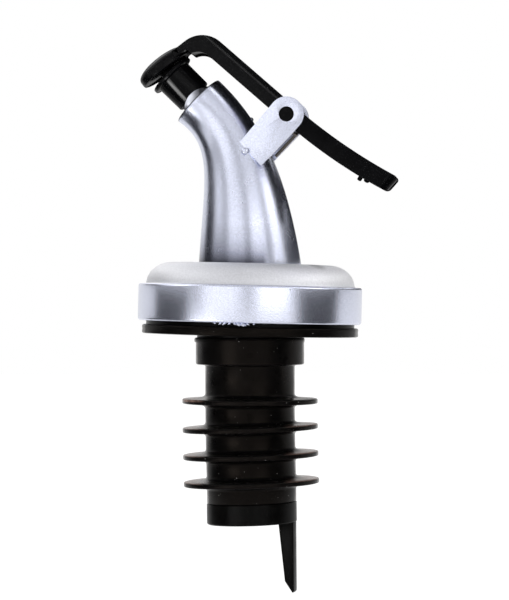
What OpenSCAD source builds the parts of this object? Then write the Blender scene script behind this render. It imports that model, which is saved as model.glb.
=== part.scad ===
// Lever pourer for a bottle: a tapered spout on a domed base cap, a finned rubber stopper with an air tongue, and a
// sprung lever whose plug closes the mouth. Millimetres, +Z up, +X towards the lever's tail. The origin is on the
// stopper's axis, in the plane where the rim gasket sits on the bottle.

/* [Base cap and core] */
// Outer diameter of the cap's straight band
band_d = 38; // [34:0.5:44]
// Height of the straight band
band_h = 6.0; // [4:0.25:9]
// Width of the flat ledge between the band and the dome
ledge_w = 1.3; // [0.6:0.1:2]
// Rise of the dome above the ledge
dome_h = 3.7; // [3:0.1:6]
// Width of the dome's rounded shoulder, measured inwards from the ledge
dome_run = 4.3; // [3:0.1:6]
// Wall of the cap's skirt
cap_skirt = 1.8; // [1.2:0.1:2.5]
// Thickness of the cap's top around the spout
cap_top_wall = 1.8; // [1.2:0.1:2.6]
// Diameter of the core's flange under the cap
core_flange_d = 35.4; // [32:0.2:37]
// Thickness of the core's flange
core_flange_t = 1.2; // [0.8:0.1:2]
// Outer diameter of the core's tube
core_d = 13.2; // [12:0.1:13.6]
// Bore that the liquid runs through
core_bore_d = 10; // [8:0.1:10.6]
// Diameter of the core's neck inside the gasket
neck_d = 18; // [16:0.2:18.2]
// Height of the ring that locates the cap on the core
locating_ring_h = 2.0; // [1:0.1:3]
// Diameter of the foot seal's wire
seal_wire_d = 1.5; // [1:0.1:1.8]
// Mean diameter of the foot seal
seal_mean_d = 16.0; // [15.4:0.1:16.6]

/* [Rim gasket and stopper] */
// Outer diameter of the rim gasket
gasket_d = 36.6; // [32:0.2:38]
// Thickness of the rim gasket
gasket_t = 1.2; // [0.8:0.1:2.4]
// Diameter inside which the gasket's underside is relieved
relief_d = 24.4; // [23.6:0.2:28]
// Depth of that relief
relief_h = 0.3; // [0.1:0.05:0.6]
// Diameter of the stopper's collar
collar_d = 18.2; // [17:0.2:20]
// Height of the collar
collar_h = 4.6; // [3:0.2:7]
// Gap between the rim's plane and the collar
collar_drop = 0.4; // [0.2:0.1:1]
// Diameter of the stopper's body between the fins
stopper_d = 15.2; // [14.6:0.1:17]
// Diameter over the fins, before they bend in the bottle's neck
fin_d = 23; // [20:0.2:23.2]
// Number of fins
fin_count = 4; // [2:1:5]
// Distance from the rim's plane to the first fin
fin_first = 11.2; // [8:0.2:13]
// Distance from the last fin's middle to the end ring
fin_end_room = 3.4; // [2.4:0.1:5]
// Thickness of a fin at its edge
fin_edge = 0.7; // [0.5:0.05:1.2]
// Thickness of a fin at its root
fin_root = 1.7; // [1.2:0.1:2.4]
// Distance from the rim's plane to the stopper's lower end
stopper_reach = 31.9; // [29:0.1:36]
// Height of the end ring that holds the rubber on the core
end_ring_h = 3.5; // [2.5:0.1:4.5]
// Floor of the end ring
end_floor = 1.4; // [1:0.1:2]
// Hole in the end ring that the liquid comes in by
inlet_d = 8.2; // [6:0.1:8.4]
// Length of the air tongue below the end ring
tongue_len = 11.9; // [6:0.1:16]
// Thickness of the tongue at its root
tongue_root = 2.8; // [2.6:0.05:3.2]
// Thickness of the tongue above its slanted tip
tongue_tip = 1.75; // [1.2:0.05:2]
// Height of the tongue's slanted tip
tongue_slant = 2.0; // [1:0.1:4]
// Angle that the tongue spans around the stopper's axis
tongue_span = 36; // [24:1:60]
// Bore of the air duct
air_d = 1.5; // [1:0.1:1.6]

/* [Spout] */
// Diameter of the spout where it leaves the cap
spout_foot_d = 17.4; // [16.5:0.1:18]
// Diameter of the bore in the spout's foot
foot_bore_d = 13; // [12:0.1:13.4]
// Diameter of the flange on the spout's foot, under the cap
foot_flange_d = 20.8; // [20:0.1:22]
// Thickness of that flange
foot_flange_t = 1.8; // [1.2:0.1:2.6]
// Height of the mouth's centre above the cap
mouth_rise = 27.8; // [24:0.1:32]
// Distance that the mouth's centre lies in front of the stopper's axis
mouth_reach = 8.85; // [6:0.05:11]
// Tilt of the mouth from level
mouth_tilt = 45.4; // [38:0.2:52]
// Outer diameter at the mouth
mouth_d = 9.8; // [9:0.1:11]
// Bore at the mouth
mouth_bore_d = 7.8; // [7.4:0.1:8.2]
// Pull of the front outline at the foot, along the foot's lean
front_foot_pull = 14.2; // [10:0.1:17]
// Lean of the front outline at the foot, inwards
front_foot_lean = 3.6; // [0:0.2:6]
// Pull of the front outline at the mouth
front_mouth_pull = 7.5; // [5:0.1:9]
// Lean of the front outline at the mouth
front_mouth_lean = 56; // [48:0.5:60]
// Pull of the back outline at the foot
back_foot_pull = 11.5; // [8:0.1:14]
// Lean of the back outline at the foot, inwards
back_foot_lean = 9.5; // [5:0.5:12]
// Pull of the back outline at the mouth
back_mouth_pull = 12.6; // [9:0.1:14]
// Lean of the back outline at the mouth
back_mouth_lean = 52; // [46:0.5:56]
// Outer diameter of the air tube
air_tube_d = 2.0; // [1.8:0.1:2.2]
// Share of the spout's length that the air tube reaches
air_tube_share = 0.52; // [0.3:0.02:0.56]

/* [Mouth sleeve and plug] */
// Wall of the mouth sleeve
sleeve_wall = 0.5; // [0.4:0.05:0.6]
// Depth of the mouth sleeve in the spout
sleeve_depth = 2.5; // [2:0.1:3]
// Hole in the seat
seat_hole_d = 4.4; // [3.4:0.1:4.8]
// Height of the seat above the spout's rim
seat_h = 0.8; // [0.4:0.05:1]
// Thickness of the seat's wall
seat_wall = 1.4; // [1:0.1:2]
// Width of the seat's crown
seat_land = 0.4; // [0.3:0.05:0.6]
// Height of the sleeve's cheeks above the spout's rim
cheek_h = 1.2; // [0.8:0.05:1.4]
// Half width of a cheek where it meets the rim
cheek_half = 2.9; // [2.4:0.05:3.1]
// Diameter of the plug at its end
plug_end_d = 6.44; // [5.8:0.02:6.5]
// Diameter of the plug under its flange
plug_top_d = 6.54; // [6.5:0.02:7]
// Length of the plug with its flange
plug_len = 5.7; // [4.6:0.1:6]
// Diameter of the plug's flange
plug_flange_d = 8.1; // [7.4:0.02:8.2]
// Thickness of the plug's flange
plug_flange_t = 0.7; // [0.5:0.05:1]
// Diameter of the stem that holds the plug
stem_d = 3.0; // [2.4:0.1:3.6]
// Length of the stem inside the plug
stem_grip = 3.6; // [2.5:0.1:4]

/* [Hinge] */
// Distance of the pivot behind the stopper's axis
pivot_back = 6.65; // [6.2:0.05:7]
// Height of the pivot above the cap
pivot_rise = 25.05; // [24.6:0.05:25.5]
// Diameter of the pivot pin
pin_d = 2.4; // [2:0.1:2.6]
// Depth of the pin's ends below the ears' faces
pin_recess = 0.15; // [0.05:0.05:0.3]
// Radius of the ears' round ends
ear_r = 2.95; // [2.9:0.05:3.4]
// Thickness of an ear
ear_t = 1.2; // [1:0.05:1.3]
// Gap between the ears
ear_gap = 8.9; // [8.6:0.1:9.2]
// Distance from the pivot to the ears' lower ends
ear_len = 8.8; // [8:0.1:9.4]
// Width of the ears' lower ends
ear_foot_w = 5.4; // [4.8:0.1:6]
// How much further the ears' lower corners reach
ear_foot_skew = 0.5; // [0:0.1:0.8]
// Slope of the ears
ear_slope = 47.6; // [44:0.2:50]

/* [Lever] */
// Thickness of the lever
lever_t = 3.1; // [2.6:0.1:3.4]
// Slope of the lever's bar
bar_slope = 41.1; // [38:0.1:44]
// Height of the bar's middle line over the pivot, square to the bar
bar_lift = 0.35; // [0.2:0.05:0.6]
// Outer radius of the arch over the mouth
arch_out_r = 4.75; // [4.4:0.05:5.4]
// Inner radius of the arch
arch_in_r = 2.7; // [2.4:0.05:3]
// Depth of the arch's outer centre below the disc's underside
arch_sink = 3.1; // [2.6:0.05:3.6]
// Diameter of the head's disc
head_d = 9.8; // [9:0.1:10.4]
// Thickness of the disc at its rim
head_rim = 1.15; // [0.8:0.1:1.4]
// Rise of the disc's domed top
head_dome = 1.45; // [1:0.05:2]
// Tilt of the disc from level
head_tilt = 37.4; // [34:0.2:42]
// Gap between the plug and the disc, on the plug's axis
head_gap = 0.7; // [0.7:0.05:1.2]
// Length of the tail from the pivot
tail_len = 21.4; // [16:0.2:26]
// Angle that the tail curves up by
tail_turn = 13; // [6:0.5:16]
// Thickness of the tail at its end
tail_end_t = 3.0; // [2:0.1:3.1]
// Radius of the tail's end corners, seen from the side
tail_edge_r = 0.7; // [0.4:0.1:1.1]
// Radius of the tail's end corners, seen from above
tail_corner_r = 2.4; // [1:0.1:4]
// Length of the small nib under the tail
nib_len = 0.75; // [0.4:0.05:1.4]
// Width of the nib
nib_d = 0.8; // [0.6:0.1:1.2]
// Distance of the nib from the tail's end
nib_inset = 5.3; // [5:0.1:8]
// Distance from the nib to the lower bump beside it
nib_step = 1.15; // [1:0.05:1.4]

/* [Return spring] */
// Wire of the return spring
wire_d = 0.6; // [0.5:0.02:0.64]
// Mean diameter of its coil
coil_d = 3.9; // [3.7:0.05:4]
// Width of its coil between the wire's middle lines
coil_w = 4.2; // [4.2:0.05:4.4]
// Length of the leg that bears on the tail
tail_leg = 3.25; // [3:0.25:6]
// Angle round the pin where the back leg leaves the coil
coil_start = 350; // [348:0.5:352]
// Straight run of the back leg before its bend
back_first = 2.1; // [2:0.05:2.2]
// Bend in the back leg
back_bend = 33.1; // [32:0.1:34]
// Length of the back leg past its bend
back_leg = 5.9; // [5:0.1:6]

/* [Hidden] */
$fn = 64;

// Clearances: a push fit between fixed pieces, a drop fit, a hinge fit, the lever's side play and the plug's rest
push = 0.02;
drop = 0.05;
hinge_fit = 0.05;
side_play = 0.2;
rest_gap = 0.1;
// How far joined shapes run into each other, and how far cuts run past a face
bite = 0.6;
past = 1;

// Heights of the stack, from the rim's plane up
flange_z = gasket_t;
band_z = flange_z + core_flange_t;
shoulder_z = band_z + band_h;
cap_z = shoulder_z + dome_h;
under_cap_z = cap_z - cap_top_wall;
boss_z = under_cap_z - foot_flange_t;
collar_z = -collar_drop;
end_ring_z = -stopper_reach + end_ring_h;
end_floor_z = -stopper_reach + end_floor;
fin_pitch = (stopper_reach - end_ring_h - fin_end_room - fin_first) / (fin_count - 1);

// Radii that fit each other
cap_hole_r = spout_foot_d / 2 + 0.3;
neck_through_r = cap_hole_r - drop - 0.05;
cap_inner_r = band_d / 2 - cap_skirt;
stopper_bore_r = core_d / 2 + push;
end_ring_r = stopper_d / 2 + drop;
air_tube_gap = 0.2;
air_x = foot_bore_d / 2 - air_tube_d / 2 - air_tube_gap;
air_rib_r = air_tube_d / 2 + 0.5;
air_socket_h = 1.5;

// The mouth's frame: its centre, its axis and the line across it, in the plane of the lever
mouth = [-mouth_reach, cap_z + mouth_rise];
mouth_axis = [-sin(mouth_tilt), cos(mouth_tilt)];
mouth_across = [cos(mouth_tilt), sin(mouth_tilt)];

// The spout's front and back outlines, as cubic curves
foot = [0, cap_z];
front_foot = foot - [spout_foot_d / 2, 0];
back_foot = foot + [spout_foot_d / 2, 0];
front_mouth = mouth - mouth_across * mouth_d / 2;
back_mouth = mouth + mouth_across * mouth_d / 2;
front = [
    front_foot,
    front_foot + front_foot_pull * [sin(front_foot_lean), cos(front_foot_lean)],
    front_mouth - front_mouth_pull * [-sin(front_mouth_lean), cos(front_mouth_lean)],
    front_mouth
];
back = [
    back_foot,
    back_foot + back_foot_pull * [-sin(back_foot_lean), cos(back_foot_lean)],
    back_mouth - back_mouth_pull * [-sin(back_mouth_lean), cos(back_mouth_lean)],
    back_mouth
];
function cubic(p, t) =
    pow(1 - t, 3) * p[0] + 3 * pow(1 - t, 2) * t * p[1] + 3 * (1 - t) * t * t * p[2] + pow(t, 3) * p[3];
function section_middle(t) = (cubic(front, t) + cubic(back, t)) / 2;
function section_r(t) = norm(cubic(back, t) - cubic(front, t)) / 2;
function section_across(t) = (cubic(back, t) - cubic(front, t)) / (2 * section_r(t));
foot_wall = (spout_foot_d - foot_bore_d) / 2;
mouth_wall = (mouth_d - mouth_bore_d) / 2;
function section_bore_r(t) = section_r(t) - foot_wall - t * (mouth_wall - foot_wall);

// Rings of points and the faces that join them, for swept shapes
spout_sides = 48;
spout_rings = 20;
counterbore_share = 0.86;
tube_sides = 12;
tube_rings = 12;
wire_sides = 6;
rings_per_turn = 8;
function ring(middle, across, r, sides, y = 0) = [
    for (i = [0:sides - 1])
        let (a = 360 * i / sides)
            [middle[0] + r * cos(a) * across[0], y + r * sin(a), middle[1] + r * cos(a) * across[1]]
];
function flat(lists) = [for (list = lists) each list];
function skin(rings, sides, first, outward) = [
    for (j = [0:rings - 2], i = [0:sides - 1])
        let (
            k = (i + 1) % sides,
            a = first + j * sides + i,
            b = first + j * sides + k,
            c = b + sides,
            d = a + sides
        )
            each (outward ? [[a, d, c], [a, c, b]] : [[a, c, d], [a, b, c]])
];
function annulus(sides, outer, inner, upward) = [
    for (i = [0:sides - 1])
        let (k = (i + 1) % sides, o = outer + i, p = outer + k, q = inner + k, n = inner + i)
            each (upward ? [[o, n, q], [o, q, p]] : [[o, p, q], [o, q, n]])
];
function fan(sides, first, upward) = [
    for (i = [1:sides - 2])
        upward ? [first, first + i + 1, first + i] : [first, first + i, first + i + 1]
];

// A swept pipe between two lists of rings, and a swept rod inside one
module pipe(outer, inner, sides) {
    n = len(outer);
    m = len(inner);
    size = n * sides;
    faces = concat(
        skin(n, sides, 0, true),
        skin(m, sides, size, false),
        annulus(sides, 0, size, false),
        annulus(sides, size - sides, size + (m - 1) * sides, true)
    );
    polyhedron(points = concat(flat(outer), flat(inner)), faces = faces, convexity = 8);
}
module rod(rings, sides) {
    n = len(rings);
    faces = concat(skin(n, sides, 0, true), fan(sides, 0, false), fan(sides, (n - 1) * sides, true));
    polyhedron(points = flat(rings), faces = faces, convexity = 8);
}

// Places in the part's frame
pivot = [pivot_back, cap_z + pivot_rise];
plug_foot = seat_h + rest_gap;
plug_head = plug_foot + plug_len;
head_foot = plug_head + head_gap;
head_middle = mouth + head_foot * mouth_axis;
head_axis = [-sin(head_tilt), cos(head_tilt)];
head_across = [cos(head_tilt), sin(head_tilt)];
module at_mouth() {
    translate([mouth[0], 0, mouth[1]]) rotate([0, -mouth_tilt, 0]) children();
}
module at_head() {
    translate([head_middle[0], 0, head_middle[1]]) rotate([0, -head_tilt, 0]) children();
}
module at_pivot() {
    translate([pivot[0], 0, pivot[1]]) rotate([90, 0, 0]) children();
}
// A plate drawn from the side and given a width
module plate(width) {
    rotate([90, 0, 0]) linear_extrude(width, center = true) children();
}
// A wedge from one angle to another, wide enough to cut the shapes that use it
module wedge(from, to, reach) {
    middle = (from + to) / 2;
    polygon([
        [0, 0],
        reach * [cos(from), sin(from)],
        1.5 * reach * [cos(middle), sin(middle)],
        reach * [cos(to), sin(to)]
    ]);
}

// Spout with its foot flange and hinge ears
ear_outer_y = ear_gap / 2 + ear_t;
module spout_body() {
    steps = [for (j = [0:spout_rings]) j / spout_rings];
    sunk = foot - [0, bite];
    outer = concat(
        [ring(sunk, [1, 0], spout_foot_d / 2, spout_sides)],
        [for (t = steps) ring(section_middle(t), section_across(t), section_r(t), spout_sides)]
    );
    bore_steps = [for (t = steps) if (t < counterbore_share) t];
    counterbore = [mouth - (sleeve_depth + drop) * mouth_axis, mouth];
    inner = concat(
        [ring(sunk, [1, 0], foot_bore_d / 2 + drop, spout_sides)],
        [for (t = bore_steps) ring(section_middle(t), section_across(t), section_bore_r(t), spout_sides)],
        [for (middle = counterbore) ring(middle, mouth_across, mouth_bore_d / 2, spout_sides)]
    );
    pipe(outer, inner, spout_sides);
}
module ear_outline() {
    along = [-cos(ear_slope), -sin(ear_slope)];
    square_to = [-sin(ear_slope), cos(ear_slope)];
    foot_middle = pivot + ear_len * along;
    translate(pivot) circle(ear_r);
    polygon([
        pivot + ear_r * square_to,
        foot_middle + ear_foot_w / 2 * square_to,
        foot_middle - ear_foot_w / 2 * square_to + ear_foot_skew * along,
        pivot - ear_r * square_to
    ]);
}
module spout_shell() {
    neck_top = cap_z - 0.2;
    color("lightsteelblue") difference() {
        union() {
            spout_body();
            rotate_extrude() polygon([
                [foot_bore_d / 2, boss_z],
                [foot_flange_d / 2, boss_z],
                [foot_flange_d / 2, under_cap_z],
                [neck_through_r, under_cap_z],
                [neck_through_r, neck_top],
                [foot_bore_d / 2, neck_top]
            ]);
            for (side = [-1, 1])
                translate([0, side * (ear_outer_y - ear_t / 2), 0]) plate(ear_t) ear_outline();
        }
        at_pivot() cylinder(d = pin_d, h = 2 * ear_outer_y + 2 * past, center = true);
    }
}

// Silver insert in the mouth: seat, side cheeks and a short wall inside the spout
sleeve_r = mouth_bore_d / 2 - drop;
cheek_in_r = sleeve_r - sleeve_wall;
module mouth_sleeve() {
    moat_h = 0.1;
    cheek_arc_r = (cheek_half * cheek_half + cheek_h * cheek_h) / (2 * cheek_h);
    color("silver") at_mouth() {
        rotate_extrude() polygon([
            [cheek_in_r, -sleeve_depth],
            [sleeve_r, -sleeve_depth],
            [sleeve_r, moat_h],
            [cheek_in_r, moat_h],
            [seat_hole_d / 2 + seat_land, seat_h],
            [seat_hole_d / 2, seat_h],
            [seat_hole_d / 2, seat_h - seat_wall],
            [cheek_in_r, seat_h - seat_wall - moat_h]
        ]);
        intersection() {
            difference() {
                translate([0, 0, -moat_h]) cylinder(r = sleeve_r, h = cheek_h + past);
                cylinder(r = cheek_in_r, h = 4 * past + cheek_h, center = true);
            }
            translate([0, 0, cheek_h - cheek_arc_r])
                rotate([90, 0, 0]) cylinder(r = cheek_arc_r, h = 2 * mouth_d, center = true);
        }
    }
}

// Domed cap over the core: a straight band with a rounded edge, a ledge, and a dome with a flat top
dome_steps = 12;
edge_steps = 3;
cap_edge_r = 0.4;
module base_cap() {
    dome_foot_r = band_d / 2 - ledge_w;
    top_r = dome_foot_r - dome_run;
    color("gainsboro") rotate_extrude() polygon(concat(
        [[cap_inner_r, band_z], [band_d / 2, band_z]],
        [
            for (i = [0:edge_steps])
                let (a = 90 * i / edge_steps)
                    [band_d / 2, shoulder_z] - cap_edge_r * [1 - cos(a), 1 - sin(a)]
        ],
        [
            for (i = [0:dome_steps])
                let (a = 90 * i / dome_steps)
                    [top_r + dome_run * cos(a), shoulder_z + dome_h * sin(a)]
        ],
        [
            [cap_hole_r, cap_z],
            [cap_hole_r, under_cap_z],
            [top_r, under_cap_z],
            [cap_inner_r, shoulder_z - cap_top_wall]
        ]
    ));
}

// Foot seal, an O-ring in the core's groove
seal_groove_h = seal_wire_d + drop;
seal_groove_w = seal_wire_d + 0.35;
module foot_seal() {
    color("dimgray") translate([0, 0, boss_z - seal_groove_h + seal_wire_d / 2])
        rotate_extrude() translate([seal_mean_d / 2, 0]) circle(d = seal_wire_d);
}

// Core: flange, boss under the spout's foot, liquid tube and air duct
module core_tube() {
    ring_out_r = cap_inner_r - drop;
    ring_in_r = ring_out_r - cap_skirt;
    ring_z = band_z + locating_ring_h;
    groove_z = boss_z - seal_groove_h;
    color("black") difference() {
        union() {
            rotate_extrude() polygon([
                [core_bore_d / 2, end_floor_z],
                [core_d / 2, end_floor_z],
                [core_d / 2, collar_z],
                [neck_d / 2, collar_z],
                [neck_d / 2, flange_z],
                [core_flange_d / 2, flange_z],
                [core_flange_d / 2, band_z],
                [ring_out_r, band_z],
                [ring_out_r, ring_z],
                [ring_in_r, ring_z],
                [ring_in_r, band_z],
                [foot_flange_d / 2, band_z],
                [foot_flange_d / 2, boss_z],
                [(seal_mean_d + seal_groove_w) / 2, boss_z],
                [(seal_mean_d + seal_groove_w) / 2, groove_z],
                [(seal_mean_d - seal_groove_w) / 2, groove_z],
                [(seal_mean_d - seal_groove_w) / 2, boss_z],
                [core_bore_d / 2, boss_z]
            ]);
            intersection() {
                translate([air_x, 0, end_floor_z]) cylinder(r = air_rib_r, h = boss_z - end_floor_z);
                translate([0, 0, end_floor_z]) cylinder(r = core_d / 2 - 0.1, h = boss_z - end_floor_z);
            }
        }
        translate([air_x, 0, end_floor_z - past]) cylinder(d = air_d, h = boss_z - end_floor_z + 2 * past);
        translate([air_x, 0, boss_z - air_socket_h]) cylinder(d = air_tube_d + 2 * push, h = air_socket_h + past);
    }
}

// Ring that seals on the bottle's rim, with a full round edge and a relief around the collar
module rim_gasket() {
    hole_r = neck_d / 2 + drop;
    edge_r = gasket_t / 2;
    color("black") rotate_extrude() {
        polygon([
            [hole_r, relief_h],
            [relief_d / 2, relief_h],
            [relief_d / 2, 0],
            [gasket_d / 2 - edge_r, 0],
            [gasket_d / 2 - edge_r, gasket_t],
            [hole_r, gasket_t]
        ]);
        translate([gasket_d / 2 - edge_r, edge_r]) circle(edge_r);
    }
}

// Rubber stopper: collar, body and fins with a straight land at the edge
module fin_outline() {
    blend = 0.9;
    tip = 0.3;
    body_r = stopper_d / 2;
    polygon([
        [body_r - bite, -fin_root / 2],
        [body_r, -fin_root / 2],
        [body_r + blend, -fin_edge / 2 - 0.15],
        [fin_d / 2 - tip, -fin_edge / 2 - 0.1],
        [fin_d / 2, -fin_edge / 2],
        [fin_d / 2, fin_edge / 2],
        [fin_d / 2 - tip, fin_edge / 2 + 0.1],
        [body_r + blend, fin_edge / 2 + 0.15],
        [body_r, fin_root / 2],
        [body_r - bite, fin_root / 2]
    ]);
}
module stopper_sleeve() {
    lip = 0.3;
    collar_low = collar_z - collar_h;
    color("black") rotate_extrude() {
        polygon([
            [stopper_bore_r, end_ring_z],
            [stopper_d / 2, end_ring_z],
            [stopper_d / 2, collar_low],
            [collar_d / 2 - lip, collar_low],
            [collar_d / 2, collar_low + lip],
            [collar_d / 2, collar_z - lip],
            [collar_d / 2 - lip, collar_z],
            [stopper_bore_r, collar_z]
        ]);
        for (i = [0:fin_count - 1])
            translate([0, -fin_first - i * fin_pitch]) fin_outline();
    }
}

// End ring on the core with the air tongue
module vent_end_ring() {
    tongue_z = -stopper_reach - tongue_len;
    tongue_in_r = end_ring_r - tongue_root;
    tip_in_r = end_ring_r - tongue_tip;
    point = 0.3;
    color("black") difference() {
        union() {
            rotate_extrude() polygon([
                [inlet_d / 2, -stopper_reach],
                [end_ring_r, -stopper_reach],
                [end_ring_r, end_ring_z],
                [stopper_bore_r, end_ring_z],
                [stopper_bore_r, end_floor_z],
                [inlet_d / 2, end_floor_z]
            ]);
            rotate([0, 0, -tongue_span / 2]) rotate_extrude(angle = tongue_span) polygon([
                [tongue_in_r, -stopper_reach + bite],
                [tongue_in_r, -stopper_reach - point],
                [tip_in_r, tongue_z + tongue_slant],
                [end_ring_r - point, tongue_z],
                [end_ring_r - 0.1, tongue_z + point],
                [end_ring_r - 0.1, -stopper_reach + bite]
            ]);
        }
        translate([air_x, 0, tongue_z - past]) cylinder(d = air_d, h = tongue_len + end_floor + 2 * past);
    }
}

// Air tube from the core's duct up along the back of the spout's bore
module air_tube() {
    low = boss_z - air_socket_h;
    steps = [for (j = [0:tube_rings]) air_tube_share * j / tube_rings];
    function middle(t) =
        section_middle(t) + section_across(t) * (section_bore_r(t) - air_tube_d / 2 - air_tube_gap);
    middles = concat([[air_x, low], [air_x, boss_z]], [for (t = steps) middle(t)]);
    acrosses = concat([[1, 0], [1, 0]], [for (t = steps) section_across(t)]);
    count = len(middles);
    outer = [for (j = [0:count - 1]) ring(middles[j], acrosses[j], air_tube_d / 2, tube_sides)];
    inner = [for (j = [0:count - 1]) ring(middles[j], acrosses[j], air_tube_d / 3, tube_sides)];
    color("darkslategray") pipe(outer, inner, tube_sides);
}

// Lever, drawn from the side: the bar runs down past the pivot into the tail, and the arch joins it to the head
lever_w = ear_gap - 2 * side_play;
hub_r = pin_d / 2 + 1.1;
bar_down = [cos(bar_slope), -sin(bar_slope)];
bar_up = [sin(bar_slope), cos(bar_slope)];
bar_root = pivot + bar_lift * bar_up;
arch_drop = arch_out_r - lever_t / 2;
bar_len = ((bar_root - arch_drop * bar_up - head_middle) * head_axis + arch_sink) / (bar_down * head_axis);
arch_foot = bar_root - bar_len * bar_down;
arch_out_middle = arch_foot - arch_drop * bar_up;
arch_in_middle = arch_foot - (arch_in_r + lever_t / 2) * bar_up;
tail_top_r = tail_len / (tail_turn * PI / 180);
tail_rise = tail_len * tail_len / (2 * tail_top_r);
tail_low_r = tail_len * tail_len / (2 * (tail_rise + lever_t - tail_end_t));
tail_top_centre = bar_root + (tail_top_r + lever_t / 2) * bar_up;
tail_low_centre = bar_root + (tail_low_r - lever_t / 2) * bar_up;
function tail_top(along) = tail_top_centre + tail_top_r * toward(along, tail_top_r);
function tail_low(along) = tail_low_centre + tail_low_r * toward(along, tail_low_r);
function toward(along, r) =
    let (a = 270 - bar_slope + along / r * 180 / PI) [cos(a), sin(a)];
tail_end = (tail_top(tail_len) + tail_low(tail_len)) / 2;
tail_end_up = (tail_top(tail_len) - tail_low(tail_len)) / norm(tail_top(tail_len) - tail_low(tail_len));
tail_end_angle = atan2(tail_end_up[1], tail_end_up[0]) - 90;
pocket_r = coil_d / 2 + wire_d / 2 + 0.25;
pocket_w = coil_w + wire_d + 0.7;
module tail_outline() {
    e = tail_edge_r;
    cut = tail_len - e;
    over = 2 * lever_t * bar_up;
    intersection() {
        difference() {
            translate(tail_low_centre) circle(tail_low_r, $fn = 1440);
            translate(tail_top_centre) circle(tail_top_r, $fn = 1440);
        }
        polygon([bar_root - over, tail_low(cut) - over, tail_top(cut) + over, bar_root + over]);
    }
    translate(tail_end) rotate(tail_end_angle) {
        translate([-2 * e, e - tail_end_t / 2]) square([2 * e, tail_end_t - 2 * e]);
        for (side = [-1, 1])
            translate([-e, side * (tail_end_t / 2 - e)]) circle(e);
    }
}
module arm_outline() {
    below = 8;
    difference() {
        intersection() {
            difference() {
                translate(arch_out_middle) circle(arch_out_r, $fn = 128);
                translate(arch_in_middle) circle(arch_in_r, $fn = 128);
            }
            translate(arch_in_middle) wedge(90 - bar_slope, 165, 3 * arch_out_r);
        }
        polygon([
            head_middle - head_d * head_across,
            head_middle + head_d / 2 * head_across,
            head_middle + head_d / 2 * head_across + below * [head_across[1], -head_across[0]],
            head_middle - head_d * head_across + below * [head_across[1], -head_across[0]]
        ]);
    }
    inner = arch_foot - lever_t / 6 * bar_down;
    polygon([
        arch_foot + lever_t / 2 * bar_up,
        inner + lever_t / 3 * bar_up,
        inner - lever_t / 3 * bar_up,
        arch_foot - lever_t / 2 * bar_up,
        bar_root - lever_t / 2 * bar_up,
        bar_root + lever_t / 2 * bar_up
    ]);
}
module tail_plan() {
    square_x = tail_end[0] + tail_end_t / 2 * sin(bar_slope) - tail_corner_r;
    left = mouth[0] - 2 * mouth_d;
    translate([left, -lever_w / 2]) square([square_x - left, lever_w]);
    translate([square_x, tail_corner_r - lever_w / 2]) square([tail_corner_r, lever_w - 2 * tail_corner_r]);
    for (side = [-1, 1])
        translate([square_x, side * (lever_w / 2 - tail_corner_r)]) circle(tail_corner_r);
}
module head_disc() {
    r = head_d / 2;
    at_head() rotate_extrude() polygon([
        [0, 0],
        [r - 0.15, 0],
        [r, 0.15],
        [r, head_rim],
        [0.93 * r, head_rim + 0.36 * head_dome],
        [0.78 * r, head_rim + 0.6 * head_dome],
        [0.6 * r, head_rim + 0.78 * head_dome],
        [0.3 * r, head_rim + 0.94 * head_dome],
        [0, head_rim + head_dome]
    ]);
}
module nib() {
    inside = 0.3;
    for (bump = [[0, nib_d, nib_len], [nib_step, 1.2 * nib_d, 0.55 * nib_len]]) {
        at = tail_len - nib_inset + bump[0];
        outwards = toward(at, tail_low_r);
        foot_at = tail_low(at) - inside * outwards;
        translate([foot_at[0], 0, foot_at[1]])
            rotate([0, 90 - atan2(outwards[1], outwards[0]), 0]) cylinder(d = bump[1], h = bump[2] + inside);
    }
}
// Slot in the lever that the spring's bent leg swings through
leg_play = 0.3;
leg_swing = 35;
slot_w = pocket_w / 2 - coil_w / 2 + wire_d / 2 + leg_play;
module leg_slot() {
    translate([0, (pocket_w - slot_w) / 2, 0]) plate(slot_w)
        hull()
            for (turn = [0, leg_swing / 2, leg_swing], place = [coil_middles[0], leg_bend, leg_end])
                translate(pivot) rotate(turn) translate(place - pivot) circle(wire_d / 2 + leg_play, $fn = 24);
}
module lever() {
    color("black") difference() {
        union() {
            intersection() {
                plate(lever_w) tail_outline();
                translate([0, 0, -mouth[1]]) linear_extrude(3 * mouth[1]) tail_plan();
            }
            plate(lever_w) arm_outline();
            at_pivot() cylinder(r = hub_r, h = lever_w, center = true);
            head_disc();
            at_mouth() translate([0, 0, plug_head - stem_grip])
                cylinder(d = stem_d, h = stem_grip + head_gap + head_rim / 2);
            nib();
        }
        at_pivot() cylinder(r = pin_d / 2 + hinge_fit, h = lever_w + 2 * past, center = true);
        at_pivot() cylinder(r = pocket_r, h = pocket_w, center = true);
        leg_slot();
    }
}

// Plug on the lever's stem
module plug() {
    soft = 0.25;
    end_r = plug_end_d / 2;
    socket_r = stem_d / 2 + push;
    socket_z = plug_head - stem_grip - rest_gap;
    under = plug_head - plug_flange_t;
    color("black") at_mouth() rotate_extrude() polygon([
        [0, plug_foot],
        [end_r - soft, plug_foot],
        [end_r, plug_foot + soft],
        [plug_top_d / 2, under - rest_gap],
        [plug_flange_d / 2, under],
        [plug_flange_d / 2, plug_head],
        [socket_r, plug_head],
        [socket_r, socket_z],
        [0, socket_z]
    ]);
}

// Pivot pin, pressed in the ears
module pivot_pin() {
    color("black") at_pivot() cylinder(d = pin_d, h = 2 * (ear_outer_y - pin_recess), center = true);
}

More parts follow.
